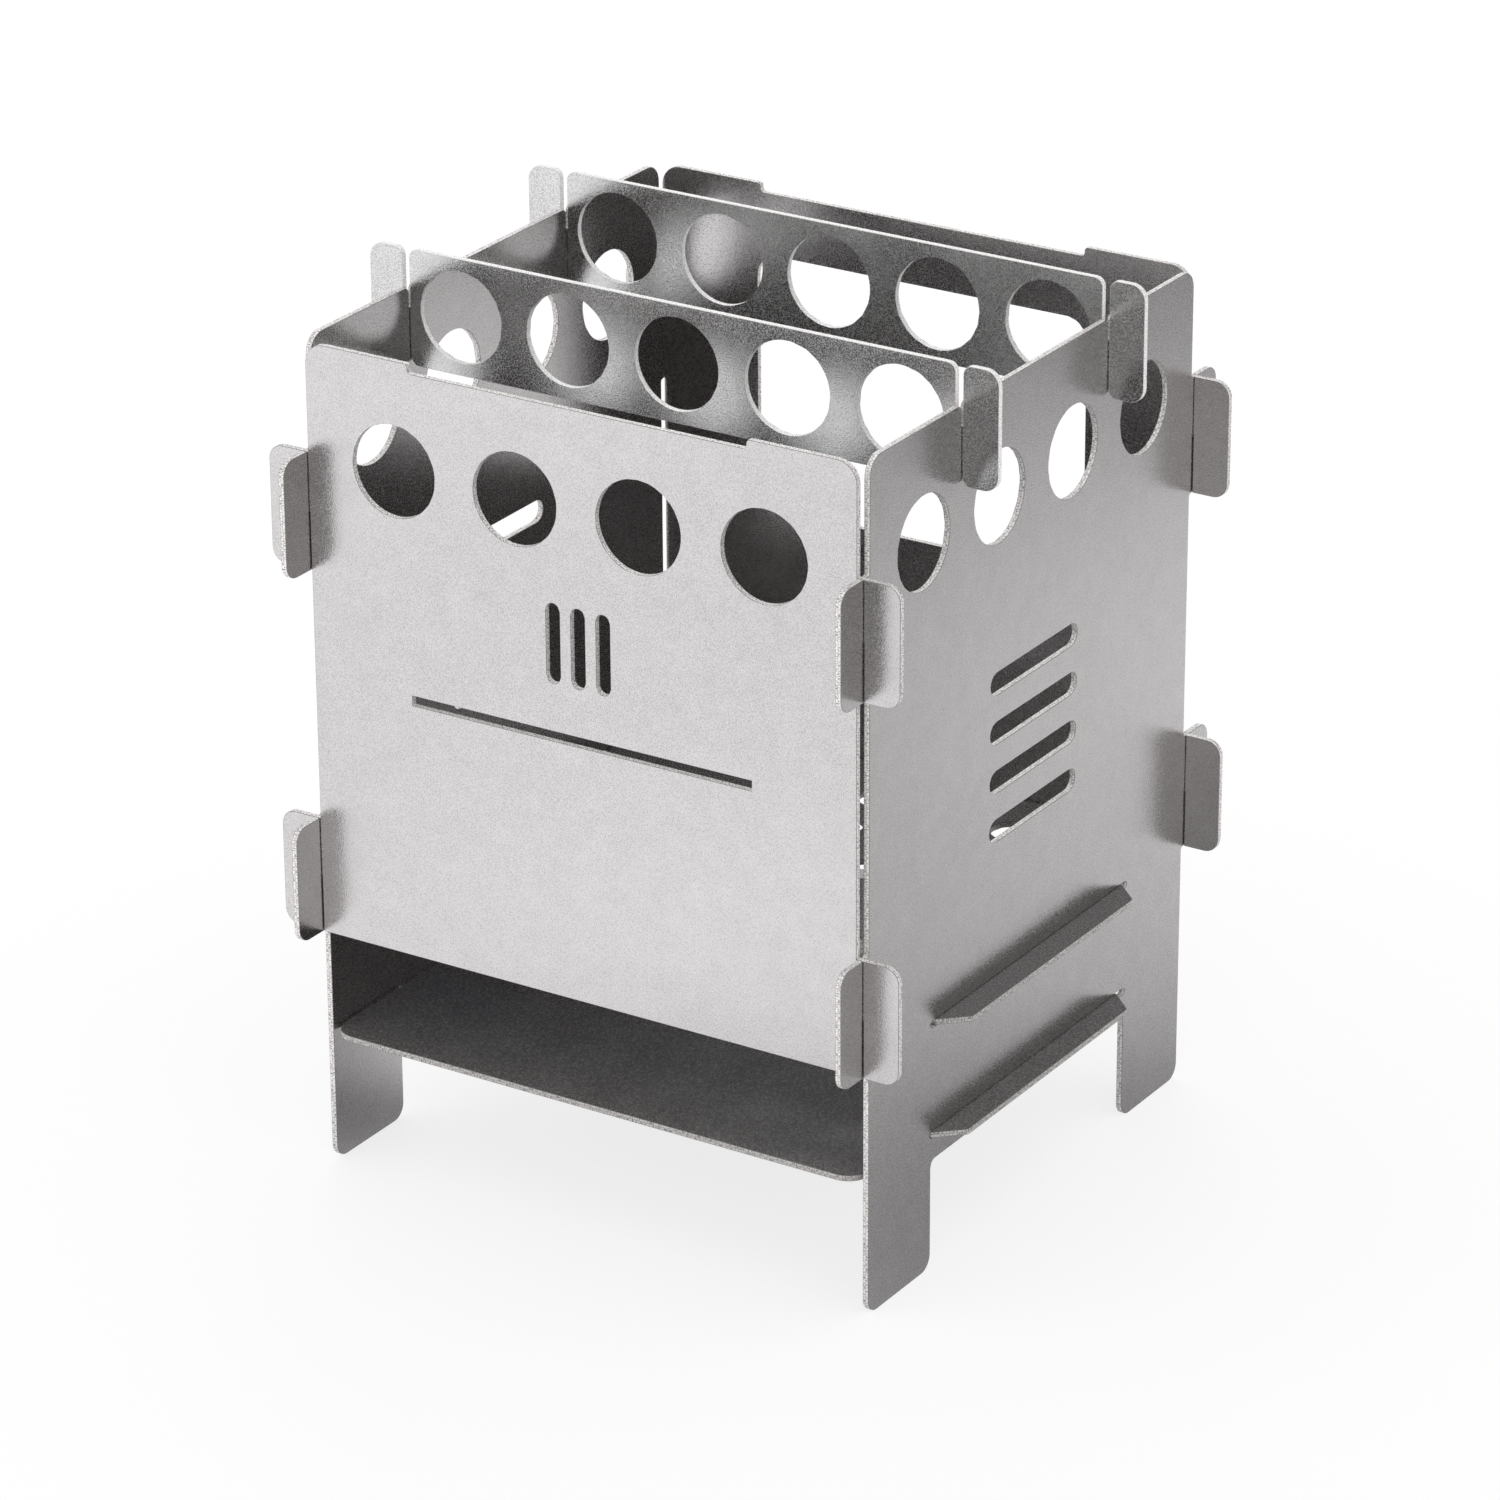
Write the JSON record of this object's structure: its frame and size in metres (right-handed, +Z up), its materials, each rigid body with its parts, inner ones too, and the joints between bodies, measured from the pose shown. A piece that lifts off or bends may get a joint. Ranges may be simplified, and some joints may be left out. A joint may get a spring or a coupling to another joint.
{
  "type": "twig stove",
  "caption": "Plug-together twig stove of thin sheet: a square fire box on legs with halved corner tabs, a rear feed opening, pot bars across the top, a pierced grate and an ash plate.",
  "frame": {"origin": "on the ground under the centre of the stove", "axes": "+X to the right side wall, +Y to the back panel with the feed opening, +Z up"},
  "size_m": [0.09, 0.09, 0.1165],
  "materials": {
    "side_wall": "matte, tumbled titanium sheet",
    "panel": "matte, tumbled titanium sheet",
    "pot_bar": "matte, tumbled titanium sheet",
    "plate": "matte, tumbled titanium sheet"
  },
  "bodies": {
    "stand": {"left_side_wall": "side_wall", "right_side_wall": "side_wall", "fire_grate": "plate", "ash_plate": "plate"},
    "front_panel": {"front_panel": "panel"},
    "back_panel": {"back_panel": "panel"},
    "front_bar": {"front_bar": "pot_bar"},
    "rear_bar": {"rear_bar": "pot_bar"}
  },
  "joints": [
    {"name": "front_panel_lift", "type": "slide", "parent": "stand", "child": "front_panel", "axis": [0, 0, 1], "range_m": [0, 0.032]},
    {"name": "back_panel_lift", "type": "slide", "parent": "stand", "child": "back_panel", "axis": [0, 0, 1], "range_m": [0, 0.032]},
    {"name": "front_bar_lift", "type": "slide", "parent": "stand", "child": "front_bar", "axis": [0, 0, 1], "range_m": [0, 0.02]},
    {"name": "rear_bar_lift", "type": "slide", "parent": "stand", "child": "rear_bar", "axis": [0, 0, 1], "range_m": [0, 0.02]}
  ]
}
